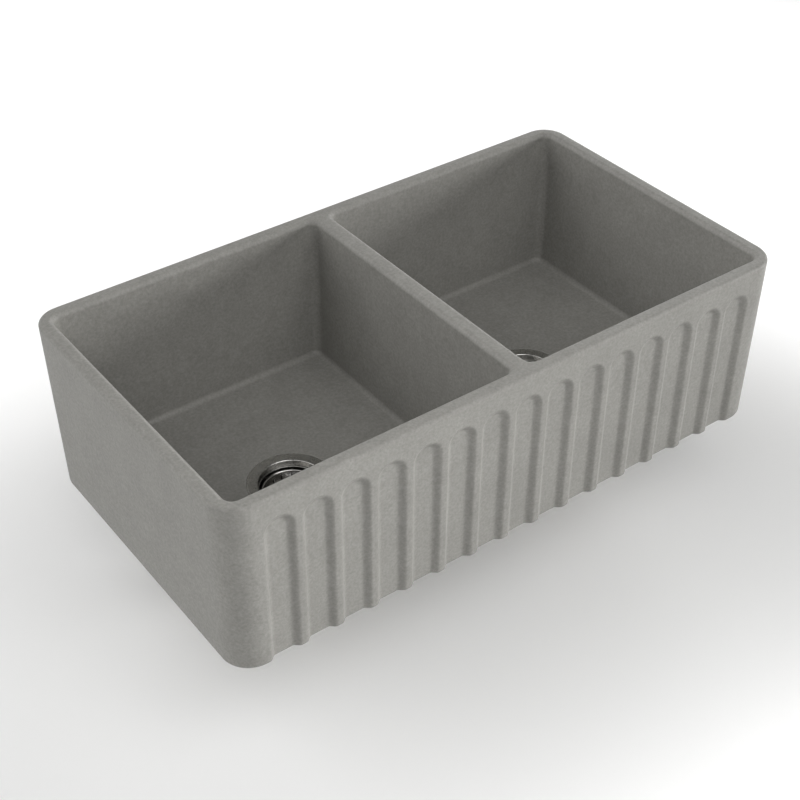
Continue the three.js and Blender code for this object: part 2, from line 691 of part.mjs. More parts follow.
const group = new THREE.Group();
group.add(named('sink_body', sinkBody(), 'ceramic'));
for (const [sideName, side] of [['left', -1], ['right', 1]]) {
  const drain = new THREE.Group();
  drain.position.set(drainX(side), DRAIN_Y, 0);
  for (const [pieceName, body, finish] of DRAIN_PIECES) {
    drain.add(named(`${sideName}_${pieceName}`, body, finish));
  }
  group.add(drain);
}

export default group;
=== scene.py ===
import json
import math
import bmesh
import bpy
import numpy as np
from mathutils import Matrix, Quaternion, Vector


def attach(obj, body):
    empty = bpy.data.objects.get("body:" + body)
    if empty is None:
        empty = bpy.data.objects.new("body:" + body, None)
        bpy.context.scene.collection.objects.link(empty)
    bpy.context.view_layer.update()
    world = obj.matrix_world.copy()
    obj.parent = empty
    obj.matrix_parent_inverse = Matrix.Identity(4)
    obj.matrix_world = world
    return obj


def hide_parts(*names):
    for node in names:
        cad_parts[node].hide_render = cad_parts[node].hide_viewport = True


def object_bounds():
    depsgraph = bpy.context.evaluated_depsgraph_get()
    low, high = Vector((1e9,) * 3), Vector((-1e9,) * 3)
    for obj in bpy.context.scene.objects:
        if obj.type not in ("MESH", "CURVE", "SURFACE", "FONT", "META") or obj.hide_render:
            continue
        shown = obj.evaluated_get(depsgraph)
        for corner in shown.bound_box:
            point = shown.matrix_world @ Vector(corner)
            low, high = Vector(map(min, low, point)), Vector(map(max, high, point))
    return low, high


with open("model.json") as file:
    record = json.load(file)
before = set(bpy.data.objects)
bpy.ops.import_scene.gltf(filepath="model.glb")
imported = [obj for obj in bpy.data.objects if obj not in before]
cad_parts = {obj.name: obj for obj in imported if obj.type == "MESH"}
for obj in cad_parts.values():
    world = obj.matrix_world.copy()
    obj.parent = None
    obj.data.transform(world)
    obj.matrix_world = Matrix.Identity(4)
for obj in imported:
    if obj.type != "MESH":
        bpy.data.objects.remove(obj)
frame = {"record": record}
CAD_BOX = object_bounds()

MM = 0.001
TURN = 2 * math.pi
QUARTER = math.pi / 2

# ---- Sizes in millimetres, as in the solids ----
WIDTH = 846
DEPTH = 460
HEIGHT = 251
SIDE_DRAFT = 4
FRONT_DRAFT = 2.1
BACK_DRAFT = 3.6
FRONT_CORNER_RADIUS = 38
BACK_CORNER_RADIUS = 35
RIM_FILLET = 4.5
BASE_FILLET = 5
BACK_BASE_FILLET = 1.5
SIDE_WALL = 20
FRONT_WALL = 20.4
BACK_WALL = 20
DIVIDER = 24.5
FLOOR = 34
FLOOR_FALL = 2
BOWL_RIM_FILLET = 7
BOWL_CORNER_RADIUS = 12
BOWL_COVE_RADIUS = 8
BOWL_DRAFT = 6
POCKET_DEPTH = 12
FOOT_WIDTH = 34
POCKET_CORNER_RADIUS = 30
POCKET_FILLET = 4
POCKET_EDGE = 1.5
POCKET_MIDDLE_RADIUS = 62
BOWL_WIDTH = (WIDTH - 2 * SIDE_WALL - DIVIDER) / 2

FLUTES = 15
FLUTE_PITCH = 50.4
FLUTE_HALF_WIDTH = 22.5
FLUTE_SHIFT = -2
FLUTE_FLANK = 10.8
FLUTE_DEPTH = 6
FLUTE_SPRINGING = HEIGHT - 30.5 - FLUTE_HALF_WIDTH

DRAIN_X = {-1: -204, 1: 190}
DRAIN_Y = -8
DRAIN_HOLE_RADIUS = 45.5
SEAT_GAP = 0.3
FLANGE_RADIUS = 57
FLANGE_THICKNESS = 1.6
FLANGE_TOP = FLOOR + 0.2
FLANGE_BOTTOM = FLANGE_TOP - FLANGE_THICKNESS
GASKET_THICKNESS = 1
GASKET_BOTTOM = FLANGE_BOTTOM - SEAT_GAP - GASKET_THICKNESS
REBATE_FLOOR = GASKET_BOTTOM - SEAT_GAP
REBATE_EDGE = 0.8
LIP_RADIUS = 42.5
LIP_ROUND = 1.4
CUP_RADIUS = LIP_RADIUS + 1.7
CUP_STEP = FLOOR - 9.7
CUP_INSIDE_RADIUS = LIP_RADIUS - 0.8
CUP_FOOT_RADIUS = CUP_INSIDE_RADIUS - 1.2
CUP_CORNER = 7
SPIGOT_BORE_RADIUS = 20.5
SPIGOT_RADIUS = SPIGOT_BORE_RADIUS + 3.3
THREAD_PITCH = 2.3
WASHER_RADIUS = 58
WASHER_THICKNESS = 3
WASHER_BOTTOM = POCKET_DEPTH - SEAT_GAP - WASHER_THICKNESS
RING_RADIUS = 56
RING_THICKNESS = 1
RING_BOTTOM = WASHER_BOTTOM - SEAT_GAP - RING_THICKNESS
LOCK_NUT_RADIUS = 53
LOCK_NUT_HEIGHT = 10
LOCK_NUT_LUGS = 8
LOCK_NUT_LUG = 5
LOCK_NUT_BOTTOM = RING_BOTTOM - SEAT_GAP - LOCK_NUT_HEIGHT
CUP_SHOULDER = LOCK_NUT_BOTTOM - 3
CUP_FLOOR = CUP_SHOULDER - CUP_CORNER
CUP_UNDERSIDE = CUP_FLOOR - 1.7
SPIGOT_END = CUP_UNDERSIDE - 30
SEAL_BOTTOM = CUP_FLOOR + SEAT_GAP
SEAL_TOP = SEAL_BOTTOM + 4
SEAL_LIP = 1.2
SEAL_RADIUS = 27
BASKET_BOTTOM = SEAL_TOP + SEAT_GAP
BASKET_FLOOR = BASKET_BOTTOM + 1
BASKET_RIM = FLOOR - 11.5
BASKET_RIM_RADIUS = 38.7
BASKET_SHEET = 0.9
BASKET_ROLL = 1.3
BASKET_FOOT_RADIUS = 29
BASKET_CORNER = 6
RETAINER_RADIUS = 9
RETAINER_THICKNESS = 1.2
RETAINER_TOP = SEAL_BOTTOM + SEAL_LIP - SEAT_GAP
RETAINER_BOTTOM = RETAINER_TOP - RETAINER_THICKNESS
STEM_NUT_CORNER = 4.9
STEM_NUT_HEIGHT = 2.8
STEM_NUT_TOP = RETAINER_BOTTOM - SEAT_GAP
STEM_NUT_BOTTOM = STEM_NUT_TOP - STEM_NUT_HEIGHT
CLIP_THICKNESS = 0.9
CLIP_TOP = STEM_NUT_BOTTOM - SEAT_GAP
CLIP_BOTTOM = CLIP_TOP - CLIP_THICKNESS
SPIDER_ARMS = 4
SPIDER_HALF_WIDTH = 1.5
HUB_HEIGHT = 6
HUB_TOP = CLIP_BOTTOM - SEAT_GAP
HUB_BOTTOM = HUB_TOP - HUB_HEIGHT
HUB_RADIUS = 5.2
STEM_RADIUS = 2.5
STEM_BOTTOM = HUB_BOTTOM - 5
KNOB_BOTTOM = BASKET_FLOOR + SEAT_GAP
KNOB_TOP = BASKET_RIM - 3.8
TAIL_WASHER_THICKNESS = 2
TAIL_WASHER_BOTTOM = SPIGOT_END - SEAT_GAP - TAIL_WASHER_THICKNESS
TAIL_TOP = TAIL_WASHER_BOTTOM - SEAT_GAP
TAIL_FLANGE_BOTTOM = TAIL_TOP - 2
TAIL_RADIUS = 19
TAIL_LENGTH = 100
TAIL_END = TAIL_TOP - TAIL_LENGTH
COUPLING_BOTTOM = TAIL_FLANGE_BOTTOM - SEAT_GAP - 3.5
COUPLING_TOP = SPIGOT_END + 11
COUPLING_LUGS = 6
COUPLING_LUG = 2.6
COUPLING_WALL = 4.4
BORE = STEM_RADIUS + SEAT_GAP


# ---- Materials ----

def material(name, color, metallic=0.0, roughness=0.5, **uniform):
    made = bpy.data.materials.new(name)
    made.use_nodes = True
    shader = made.node_tree.nodes["Principled BSDF"]
    shader.inputs["Base Color"].default_value = (*color, 1)
    shader.inputs["Metallic"].default_value = metallic
    shader.inputs["Roughness"].default_value = roughness
    for socket, value in uniform.items():
        shader.inputs[socket.replace("_", " ")].default_value = value
    return made


def node(made, kind, **settings):
    created = made.node_tree.nodes.new(kind)
    for key, value in settings.items():
        if key in created.inputs:
            created.inputs[key].default_value = value
        else:
            setattr(created, key, value)
    return created


def link(made, source, target):
    made.node_tree.links.new(source, target)


def noise(made, vector, scale, detail=3.0, roughness=0.5):
    texture = node(made, "ShaderNodeTexNoise", Scale=scale, Detail=detail, Roughness=roughness)
    link(made, vector, texture.inputs["Vector"])
    return texture.outputs["Fac"]


def ranged(made, value, low, high, start=0.0, end=1.0):
    mapped = node(made, "ShaderNodeMapRange")
    mapped.inputs["From Min"].default_value = start
    mapped.inputs["From Max"].default_value = end
    mapped.inputs["To Min"].default_value = low
    mapped.inputs["To Max"].default_value = high
    link(made, value, mapped.inputs["Value"])
    return mapped.outputs["Result"]


def times(made, first, second):
    product = node(made, "ShaderNodeMath", operation="MULTIPLY")
    link(made, first, product.inputs[0])
    link(made, second, product.inputs[1])
    return product.outputs[0]


def shade(made, color, factor):
    """The colour, lightened or darkened by a factor round 1."""
    mixed = node(made, "ShaderNodeVectorMath", operation="SCALE")
    mixed.inputs[0].default_value = color
    link(made, factor, mixed.inputs["Scale"])
    link(made, mixed.outputs[0], made.node_tree.nodes["Principled BSDF"].inputs["Base Color"])


def bump(made, height, distance, strength=1.0):
    bumped = node(made, "ShaderNodeBump", Strength=strength, Distance=distance)
    link(made, height, bumped.inputs["Height"])
    link(made, bumped.outputs["Normal"], made.node_tree.nodes["Principled BSDF"].inputs["Normal"])


def object_place(made):
    return node(made, "ShaderNodeTexCoord").outputs["Object"]


def turned_place(made, around, along):
    """A place that runs slowly round a turned piece and fast along its profile."""
    grain = node(made, "ShaderNodeAttribute", attribute_name="grain")
    scaled = node(made, "ShaderNodeMapping")
    scaled.inputs["Scale"].default_value = (around, around, along)
    link(made, grain.outputs["Vector"], scaled.inputs["Vector"])
    return scaled.outputs["Vector"]


def ceramic():
    made = material("ceramic", CERAMIC, roughness=0.82, Specular_IOR_Level=0.35, Coat_Weight=0.3,
                    Coat_Roughness=0.35)
    place = object_place(made)
    mottle = ranged(made, noise(made, place, 24, 4, 0.6), 0.95, 1.05, 0.3, 0.7)
    cloud = ranged(made, noise(made, place, 90, 3, 0.6), 0.96, 1.04, 0.3, 0.7)
    speckle = ranged(made, noise(made, place, 270, 2, 0.6), 0.88, 1.12, 0.3, 0.7)
    sand = ranged(made, noise(made, place, 620, 2, 0.7), 0.94, 1.06, 0.3, 0.7)
    grit = node(made, "ShaderNodeTexVoronoi", feature="F1", Scale=900.0)
    link(made, place, grit.inputs["Vector"])
    pits = ranged(made, grit.outputs["Distance"], 0.9, 1.0, 0.05, 0.3)
    tone = times(made, times(made, mottle, cloud), times(made, speckle, sand))
    shade(made, CERAMIC, times(made, tone, pits))
    grain = noise(made, place, 420, 4, 0.65)
    link(made, ranged(made, grain, 0.74, 0.9, 0.3, 0.7),
         made.node_tree.nodes["Principled BSDF"].inputs["Roughness"])
    bump(made, grain, 0.0004, 0.5)
    return made


def turned_metal(name, color, roughness, grain_depth, wear=0.08, painted_shade=()):
    """Each entry (level, depth, factor) paints shade into the colour: the metal darkens below the level,
    down to the factor over the depth.
    """
    made = material(name, color, metallic=1.0, roughness=roughness)
    rings = noise(made, turned_place(made, 1.2, 4.0), 3.0, 3, 0.6)
    smears = noise(made, object_place(made), 60, 4, 0.6)
    tone = ranged(made, smears, 0.93, 1.05, 0.3, 0.7)
    if painted_shade:
        place = node(made, "ShaderNodeSeparateXYZ")
        link(made, object_place(made), place.inputs[0])
    # painted shade: the colour darkens towards the bottom below each level
    for level, depth, factor in painted_shade:
        painted_darkening = ranged(made, place.outputs["Z"], factor, 1.0, (level - depth) * MM, level * MM)
        tone = times(made, tone, painted_darkening)
    shade(made, color, tone)
    low, high = max(0.03, roughness - wear / 2), roughness + wear
    mixed = times(made, ranged(made, smears, 0.8, 1.25, 0.3, 0.7), ranged(made, rings, low, high, 0.3, 0.7))
    link(made, mixed, made.node_tree.nodes["Principled BSDF"].inputs["Roughness"])
    bump(made, rings, grain_depth, 0.4)
    return made


def moulded(name, color, roughness, grain_depth, grain_scale=900):
    made = material(name, color, roughness=roughness, Specular_IOR_Level=0.4)
    place = object_place(made)
    dust = noise(made, place, 140, 4, 0.6)
    shade(made, color, ranged(made, dust, 0.75, 1.35, 0.3, 0.7))
    grain = noise(made, place, grain_scale, 2, 0.6)
    link(made, ranged(made, grain, roughness - 0.1, min(1.0, roughness + 0.1), 0.3, 0.7),
         made.node_tree.nodes["Principled BSDF"].inputs["Roughness"])
    bump(made, grain, grain_depth, 0.6)
    return made


CERAMIC = (0.246, 0.241, 0.223)
FLOOR_COLOR = (0.96, 0.96, 0.955)
MATERIALS = {
    "ceramic_body": ceramic(),
    # painted shade: the strainer's colour darkens below the flange top and goes nearly black below the
    # cup's step
    "strainer_steel": turned_metal("strainer_steel", (0.7, 0.69, 0.66), 0.26, 0.00003,
                                   painted_shade=[(FLANGE_TOP - 1, 1.5, 0.7), (CUP_STEP - 0.3, 0.6, 0.3)]),
    # painted shade: the basket's colour darkens below its rim
    "basket_steel": turned_metal("basket_steel", (0.7, 0.69, 0.67), 0.14, 0.00002, 0.06,
                                 painted_shade=[(BASKET_RIM - 1.2, 2, 0.85)]),
    "knob_chrome": turned_metal("knob_chrome", (0.74, 0.75, 0.76), 0.08, 0.00002, 0.04),
    "stem_steel": turned_metal("stem_steel", (0.55, 0.55, 0.56), 0.3, 0.00006, 0.1),
    "tailpiece_chrome": turned_metal("tailpiece_chrome", (0.72, 0.73, 0.74), 0.1, 0.00002, 0.05),
    "drain_brass": turned_metal("drain_brass", (0.6, 0.42, 0.19), 0.33, 0.0001, 0.12),
    "drain_rubber": moulded("drain_rubber", (0.02, 0.02, 0.021), 0.7, 0.00008),
    "seal_rubber": moulded("seal_rubber", (0.016, 0.016, 0.017), 0.62, 0.00006),
    "drain_fibre": moulded("drain_fibre", (0.42, 0.33, 0.21), 0.85, 0.00012, 500),
}


# ---- Mesh helpers ----

def fillet_path(points, closed=True, steps=5):
    """Corners given as (r, z, radius, form) with an arc of that radius in place of each."""
    path = []
    count = len(points)
    for i, point in enumerate(points):
        radius = point[2] if len(point) > 2 else 0
        form = point[3] if len(point) > 3 else None
        here = Vector(point[:2])
        if radius <= 0 or (not closed and i in (0, count - 1)):
            path.append((*here, form))
            continue
        back = Vector(points[i - 1][:2]) - here
        ahead = Vector(points[(i + 1) % count][:2]) - here
        half = back.angle(ahead) / 2
        reach = min(radius / math.tan(half), 0.49 * back.length, 0.49 * ahead.length)
        back.normalize()
        ahead.normalize()
        size = reach * math.tan(half)
        centre = here + (back + ahead).normalized() * (size / math.sin(half))
        first = here + back * reach - centre
        last = here + ahead * reach - centre
        sweep = math.pi - 2 * half
        for step in range(steps + 1):
            t = step / steps
            spoke = (first * math.sin((1 - t) * sweep) + last * math.sin(t * sweep)) / math.sin(sweep)
            path.append((*(centre + spoke), form))
    return path


def lathe(bm, path, segments, closed=True):
    """Rings about Z through a path of (r, z, form). A form changes the radius round the ring."""
    grain = bm.verts.layers.float_vector.get("grain") or bm.verts.layers.float_vector.new("grain")
    theta = np.linspace(0, TURN, segments, endpoint=False)
    rings = []
    run = 0
    for i, (r, z, form) in enumerate(path):
        if i:
            run += math.hypot(r - path[i - 1][0], z - path[i - 1][1])
        radii = form(theta, r, z) if form else np.full(segments, r)
        ring = []
        for angle, radius in zip(theta, radii):
            vert = bm.verts.new((radius * math.cos(angle), radius * math.sin(angle), z))
            vert[grain] = (math.cos(angle), math.sin(angle), run)
            ring.append(vert)
        rings.append(ring)
    pairs = list(zip(rings, rings[1:]))
    if closed:
        pairs.append((rings[-1], rings[0]))
    for low, high in pairs:
        for i in range(segments):
            j = (i + 1) % segments
            bm.faces.new((low[i], low[j], high[j], high[i]))


def turned(points, segments=96, closed=True, steps=5):
    bm = bmesh.new()
    lathe(bm, fillet_path(points, closed, steps), segments, closed)
    return bm


def threaded(low, high, radius, pitch, depth, upwards=True):
    """Path points of an outside thread from one level to another."""
    def form(theta, r, z):
        wave = (z / pitch - theta / TURN) % 1
        ridge = np.clip(2.4 * np.abs(wave - 0.5) - 0.1, 0, 1)
        fade = min(1, (z - low) / pitch, (high - z) / pitch)
        return r - depth * ridge * max(fade, 0)
    count = max(4, round((high - low) / pitch * 8))
    levels = np.linspace(low, high, count + 1)
    if not upwards:
        levels = levels[::-1]
    return [(radius, float(z), 0, form) for z in levels]


def lugged(lug, lugs, width, reference):
    def form(theta, r, z):
        span = TURN / lugs
        offset = np.abs((theta + span / 2) % span - span / 2) * reference
        flat = np.clip((width / 2 + 0.5 - offset) / 1.0, 0, 1)
        return r + lug * flat * flat * (3 - 2 * flat)
    return form


def place_piece(name, bm, node_name, slot, shift=(0, 0)):
    """Turns a millimetre mesh into a piece that stands for one CAD node."""
    bmesh.ops.remove_doubles(bm, verts=bm.verts, dist=1e-4)
    bmesh.ops.recalc_face_normals(bm, faces=bm.faces)
    for vert in bm.verts:
        vert.co = Vector((vert.co.x + shift[0], vert.co.y + shift[1], vert.co.z)) * MM
    mesh = bpy.data.meshes.new(name)
    bm.to_mesh(mesh)
    bm.free()
    mesh.shade_smooth()
    mesh.set_sharp_from_angle(angle=math.radians(38))
    mesh.materials.append(MATERIALS[slot])
    piece = bpy.data.objects.new(name, mesh)
    bpy.context.scene.collection.objects.link(piece)
    weighted = piece.modifiers.new("even_shading", "WEIGHTED_NORMAL")
    weighted.keep_sharp = True
    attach(piece, BODY_OF[node_name])
    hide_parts(node_name)


BODY_OF = {name: body for body, names in frame["record"]["behaviour"]["bodies"].items() for name in names}


# ---- Ceramic body ----

CORNER_STEPS = 16
SIDE_STEPS = 12
BACK_STEPS = 24
FILLET_STEPS = 8
FLUTE_COLUMN = 1.4


def outline(left, right, front, back, front_radius, back_radius, front_steps):
    """Anticlockwise rounded rectangle from the left end of its straight front edge."""
    points = [(x, front) for x in front_steps(left + front_radius, right - front_radius)]

    def corner(x, y, radius, start):
        for step in range(1, CORNER_STEPS + 1):
            angle = start + QUARTER * step / CORNER_STEPS
            points.append((x + radius * math.cos(angle), y + radius * math.sin(angle)))

    def straight(to, steps):
        x0, y0 = points[-1]
        for step in range(1, steps + 1):
            t = step / steps
            points.append((x0 + (to[0] - x0) * t, y0 + (to[1] - y0) * t))

    corner(right - front_radius, front + front_radius, front_radius, -QUARTER)
    straight((right, back - back_radius), SIDE_STEPS)
    corner(right - back_radius, back - back_radius, back_radius, 0)
    straight((left + back_radius, back), BACK_STEPS)
    corner(left + back_radius, back - back_radius, back_radius, QUARTER)
    straight((left, front + front_radius), SIDE_STEPS)
    corner(left + front_radius, front + front_radius, front_radius, 2 * QUARTER)
    return points[:-1]


def flute_depth(x, z):
    deepest = 0.0
    for flute in range(FLUTES):
        across = abs(x - FLUTE_SHIFT - (flute - (FLUTES - 1) / 2) * FLUTE_PITCH)
        if across < FLUTE_HALF_WIDTH:
            off = across if z < FLUTE_SPRINGING else math.hypot(across, z - FLUTE_SPRINGING)
            share = min(max((FLUTE_HALF_WIDTH - off) / FLUTE_FLANK, 0), 1)
            deepest = FLUTE_DEPTH * (1 - math.cos(math.pi * share)) / 2
    return deepest


def fluted_columns(start, end):
    reach = (FLUTES - 1) / 2 * FLUTE_PITCH + FLUTE_PITCH / 2
    count = round(2 * reach / FLUTE_COLUMN)
    inner = [FLUTE_SHIFT - reach + 2 * reach * i / count for i in range(count + 1)]
    return [start, *inner, end]


def outer_ring(z, front_inset, back_inset):
    lean = 1 - z / HEIGHT
    side = WIDTH / 2 - SIDE_DRAFT * lean
    front = -DEPTH / 2 + FRONT_DRAFT * lean + front_inset
    back = DEPTH / 2 - BACK_DRAFT * lean - back_inset
    plan = outline(-side + back_inset, side - back_inset, front, back,
                   FRONT_CORNER_RADIUS - back_inset, BACK_CORNER_RADIUS - back_inset, fluted_columns)
    return [(x, y + (flute_depth(x, z) if y < front + 1e-6 else 0), z) for x, y in plan]


def outer_rings():
    rings = []
    for step in range(FILLET_STEPS + 1):
        angle = QUARTER * step / FILLET_STEPS
        inset = 1 - math.sin(angle)
        rings.append(outer_ring(BASE_FILLET * (1 - math.cos(angle)), BASE_FILLET * inset,
                                BACK_BASE_FILLET * inset))
    arch_top = FLUTE_SPRINGING + FLUTE_HALF_WIDTH
    levels = list(np.linspace(BASE_FILLET, FLUTE_SPRINGING, 8)[1:])
    levels += list(np.linspace(FLUTE_SPRINGING, arch_top, 18)[1:])
    levels += list(np.linspace(arch_top, HEIGHT - RIM_FILLET, 4)[1:-1])
    rings += [outer_ring(float(z), 0, 0) for z in levels]
    for step in range(FILLET_STEPS + 1):
        angle = QUARTER * step / FILLET_STEPS
        inset = RIM_FILLET * (1 - math.cos(angle))
        rings.append(outer_ring(HEIGHT - RIM_FILLET * (1 - math.sin(angle)), inset, inset))
    return rings


def even_columns(start, end):
    return [start + (end - start) * i / BACK_STEPS for i in range(BACK_STEPS + 1)]


def bowl_ring(side, z, inset):
    inner = side * DIVIDER / 2
    outer = side * (DIVIDER / 2 + BOWL_WIDTH)
    radius = BOWL_CORNER_RADIUS - min(inset, 0)
    plan = outline(min(inner, outer) + inset, max(inner, outer) - inset, -DEPTH / 2 + FRONT_WALL + inset,
                   DEPTH / 2 - BACK_WALL - inset, radius, radius, even_columns)
    return [(x, y, z) for x, y in plan]


def pocket_ring(side, z, inset):
    outer = side * (WIDTH / 2 - FOOT_WIDTH)
    inner = side * FOOT_WIDTH / 2
    radius = POCKET_CORNER_RADIUS
    plan = outline(min(inner, outer) + inset, max(inner, outer) - inset, -DEPTH / 2 + FOOT_WIDTH + inset,
                   DEPTH / 2 - FOOT_WIDTH - inset, radius, radius, even_columns)
    return [(x, y, z) for x, y in plan]


def drain_ring(side, shape, radius, z):
    """A circle round the drain with one point towards each point of a ring."""
    ring = []
    for x, y, _ in shape:
        angle = math.atan2(y - DRAIN_Y, x - DRAIN_X[side])
        ring.append((DRAIN_X[side] + radius * math.cos(angle), DRAIN_Y + radius * math.sin(angle), z))
    return ring


def between(first, last, count):
    """Rings on the way from one ring to another, without the first."""
    first, last = np.array(first), np.array(last)
    return [(first + (last - first) * i / count).tolist() for i in range(1, count + 1)]


def bowl_rings(side):
    rings = []
    for step in range(FILLET_STEPS + 1):
        angle = QUARTER * (1 - step / FILLET_STEPS)
        rings.append(bowl_ring(side, HEIGHT - BOWL_RIM_FILLET * (1 - math.sin(angle)),
                               -BOWL_RIM_FILLET * (1 - math.cos(angle))))
    cove_top = FLOOR + FLOOR_FALL + BOWL_COVE_RADIUS
    rings += between(rings[-1], bowl_ring(side, cove_top, BOWL_DRAFT), 6)
    for step in range(1, FILLET_STEPS + 1):
        angle = QUARTER * step / FILLET_STEPS
        rings.append(bowl_ring(side, cove_top - BOWL_COVE_RADIUS * math.sin(angle),
                               BOWL_DRAFT + BOWL_COVE_RADIUS * (1 - math.cos(angle))))
    foot = rings[-1]
    edge = FLANGE_RADIUS + SEAT_GAP
    rings += between(foot, drain_ring(side, foot, edge + REBATE_EDGE, FLOOR), 10)
    for step in range(1, 5):
        angle = QUARTER * step / 4
        rings.append(drain_ring(side, foot, edge + REBATE_EDGE * (1 - math.sin(angle)),
                                FLOOR - REBATE_EDGE * (1 - math.cos(angle))))
    ceiling = pocket_ring(side, POCKET_DEPTH, POCKET_FILLET)
    rings.append(drain_ring(side, foot, edge, REBATE_FLOOR))
    rings.append(drain_ring(side, foot, DRAIN_HOLE_RADIUS, REBATE_FLOOR))
    rings.append(drain_ring(side, foot, DRAIN_HOLE_RADIUS, POCKET_DEPTH))
    rings += between(drain_ring(side, ceiling, POCKET_MIDDLE_RADIUS, POCKET_DEPTH), ceiling, 4)
    for step in range(1, 6):
        angle = QUARTER * step / 5
        rings.append(pocket_ring(side, POCKET_DEPTH - POCKET_FILLET * (1 - math.cos(angle)),
                                 POCKET_FILLET * (1 - math.sin(angle))))
    rings.append(pocket_ring(side, POCKET_EDGE, 0))
    for step in range(1, 4):
        angle = QUARTER * step / 3
        rings.append(pocket_ring(side, POCKET_EDGE * (1 - math.sin(angle)),
                                 -POCKET_EDGE * (1 - math.cos(angle))))
    return rings


def sink_body():
    bm = bmesh.new()

    def skin(rings):
        rows = [[bm.verts.new(point) for point in ring] for ring in rings]
        for low, high in zip(rows, rows[1:]):
            for i in range(len(low)):
                j = (i + 1) % len(low)
                bm.faces.new((low[i], low[j], high[j], high[i]))
        return rows[0], rows[-1]

    foot, top = skin(outer_rings())
    loops = {"top": [top], "foot": [foot]}
    for side in (-1, 1):
        first, last = skin(bowl_rings(side))
        loops["top"].append(first)
        loops["foot"].append(last)
    for name, up in (("top", 1), ("foot", -1)):
        edges = [bm.edges.get((loop[i], loop[i - 1])) for loop in loops[name] for i in range(len(loop))]
        bmesh.ops.triangle_fill(bm, use_beauty=True, edges=edges, normal=(0, 0, up))
    return bm


# ---- Drain pieces, each about its own axis ----

def add_bar(bm, angle, start, end, half_width, low, high, soft):
    """Rounded bar that runs outwards from the axis."""
    section = fillet_path([(-half_width, low, soft), (half_width, low, soft), (half_width, high, soft),
                           (-half_width, high, soft)], steps=3)
    turn = (math.cos(angle), math.sin(angle))
    rings = []
    for reach in (start, end):
        rings.append([bm.verts.new((reach * turn[0] - y * turn[1], reach * turn[1] + y * turn[0], z))
                      for y, z, _ in section])
    for i in range(len(section)):
        j = (i + 1) % len(section)
        bm.faces.new((rings[0][i], rings[0][j], rings[1][j], rings[1][i]))
    bm.faces.new(rings[0])
    bm.faces.new(rings[1][::-1])


def strainer_body():
    bm = turned([
        (FLANGE_RADIUS - 1.2, FLANGE_BOTTOM, 0.3),
        (FLANGE_RADIUS, FLANGE_BOTTOM + 0.5, 0.4),
        (FLANGE_RADIUS, FLANGE_TOP - 0.55, 0.5),
        (FLANGE_RADIUS - 1.6, FLANGE_TOP, 1.2),
        (LIP_RADIUS, FLANGE_TOP, LIP_ROUND),
        (LIP_RADIUS, CUP_STEP, 0.25),
        (CUP_INSIDE_RADIUS, CUP_STEP - 0.25, 0.25),
        (CUP_FOOT_RADIUS, CUP_SHOULDER + CUP_CORNER * 0.2, 0),
        (CUP_FOOT_RADIUS, CUP_FLOOR, CUP_CORNER - 0.2),
        (SPIGOT_BORE_RADIUS, CUP_FLOOR, 1.0),
        (SPIGOT_BORE_RADIUS, SPIGOT_END, 0.3),
        (SPIGOT_RADIUS - 0.5, SPIGOT_END, 0.3),
        *threaded(SPIGOT_END + 0.4, CUP_UNDERSIDE - 4, SPIGOT_RADIUS, THREAD_PITCH, 1.1),
        (SPIGOT_RADIUS - 0.4, CUP_UNDERSIDE, 1.2),
        (CUP_RADIUS - CUP_CORNER + 0.3, CUP_UNDERSIDE, 4),
        (CUP_RADIUS - 0.3, CUP_SHOULDER - 0.4, 0.8),
        *threaded(CUP_SHOULDER + 0.2, LOCK_NUT_BOTTOM + 22, CUP_RADIUS, THREAD_PITCH, 0.9),
        (CUP_RADIUS, FLANGE_BOTTOM, 0.5),
    ], segments=128)
    for arm in range(SPIDER_ARMS):
        add_bar(bm, TURN * arm / SPIDER_ARMS, HUB_RADIUS - 0.8, SPIGOT_BORE_RADIUS + 0.8, SPIDER_HALF_WIDTH,
                HUB_BOTTOM, HUB_TOP, 0.6)
    lathe(bm, fillet_path([(STEM_RADIUS + 0.7, HUB_BOTTOM, 0.2), (HUB_RADIUS, HUB_BOTTOM, 0.5),
                           (HUB_RADIUS, HUB_TOP, 0.5), (STEM_RADIUS + 0.7, HUB_TOP, 0.2)]), 48)
    return bm


def flat_ring(inner, outer, low, high, soft, segments=96):
    section = [(inner, low, soft), (outer, low, soft), (outer, high, soft), (inner, high, soft)]
    return turned(section, segments, steps=3)


def lock_nut():
    top = LOCK_NUT_BOTTOM + LOCK_NUT_HEIGHT
    width = LOCK_NUT_RADIUS * math.pi / LOCK_NUT_LUGS / 2
    form = lugged(LOCK_NUT_LUG, LOCK_NUT_LUGS, width - 1, LOCK_NUT_RADIUS + 2)
    return turned([
        (CUP_RADIUS + SEAT_GAP, LOCK_NUT_BOTTOM, 0.8),
        (LOCK_NUT_RADIUS - 1, LOCK_NUT_BOTTOM, 0, form),
        (LOCK_NUT_RADIUS, LOCK_NUT_BOTTOM + 1, 0, form),
        (LOCK_NUT_RADIUS, top - 1, 0, form),
        (LOCK_NUT_RADIUS - 1, top, 0, form),
        (CUP_RADIUS + SEAT_GAP, top, 0.8),
    ], 320)


def coupling_nut():
    outer = SPIGOT_RADIUS + SEAT_GAP + COUPLING_WALL
    form = lugged(COUPLING_LUG, COUPLING_LUGS, outer * math.pi / COUPLING_LUGS / 2 - 1, outer + 1)
    lip = TAIL_FLANGE_BOTTOM - SEAT_GAP
    return turned([
        (TAIL_RADIUS + 0.3, COUPLING_BOTTOM, 0.4),
        (outer - 3, COUPLING_BOTTOM, 0.8),
        (outer - 1.2, COUPLING_BOTTOM + 1.6, 0, form),
        (outer, COUPLING_BOTTOM + 3, 0, form),
        (outer, COUPLING_TOP - 1, 0, form),
        (outer - 1, COUPLING_TOP, 0, form),
        (SPIGOT_RADIUS + 0.3, COUPLING_TOP, 0.6),
        (SPIGOT_RADIUS + 0.3, lip, 0.2),
        (TAIL_RADIUS + 0.3, lip, 0.3),
    ], 240)


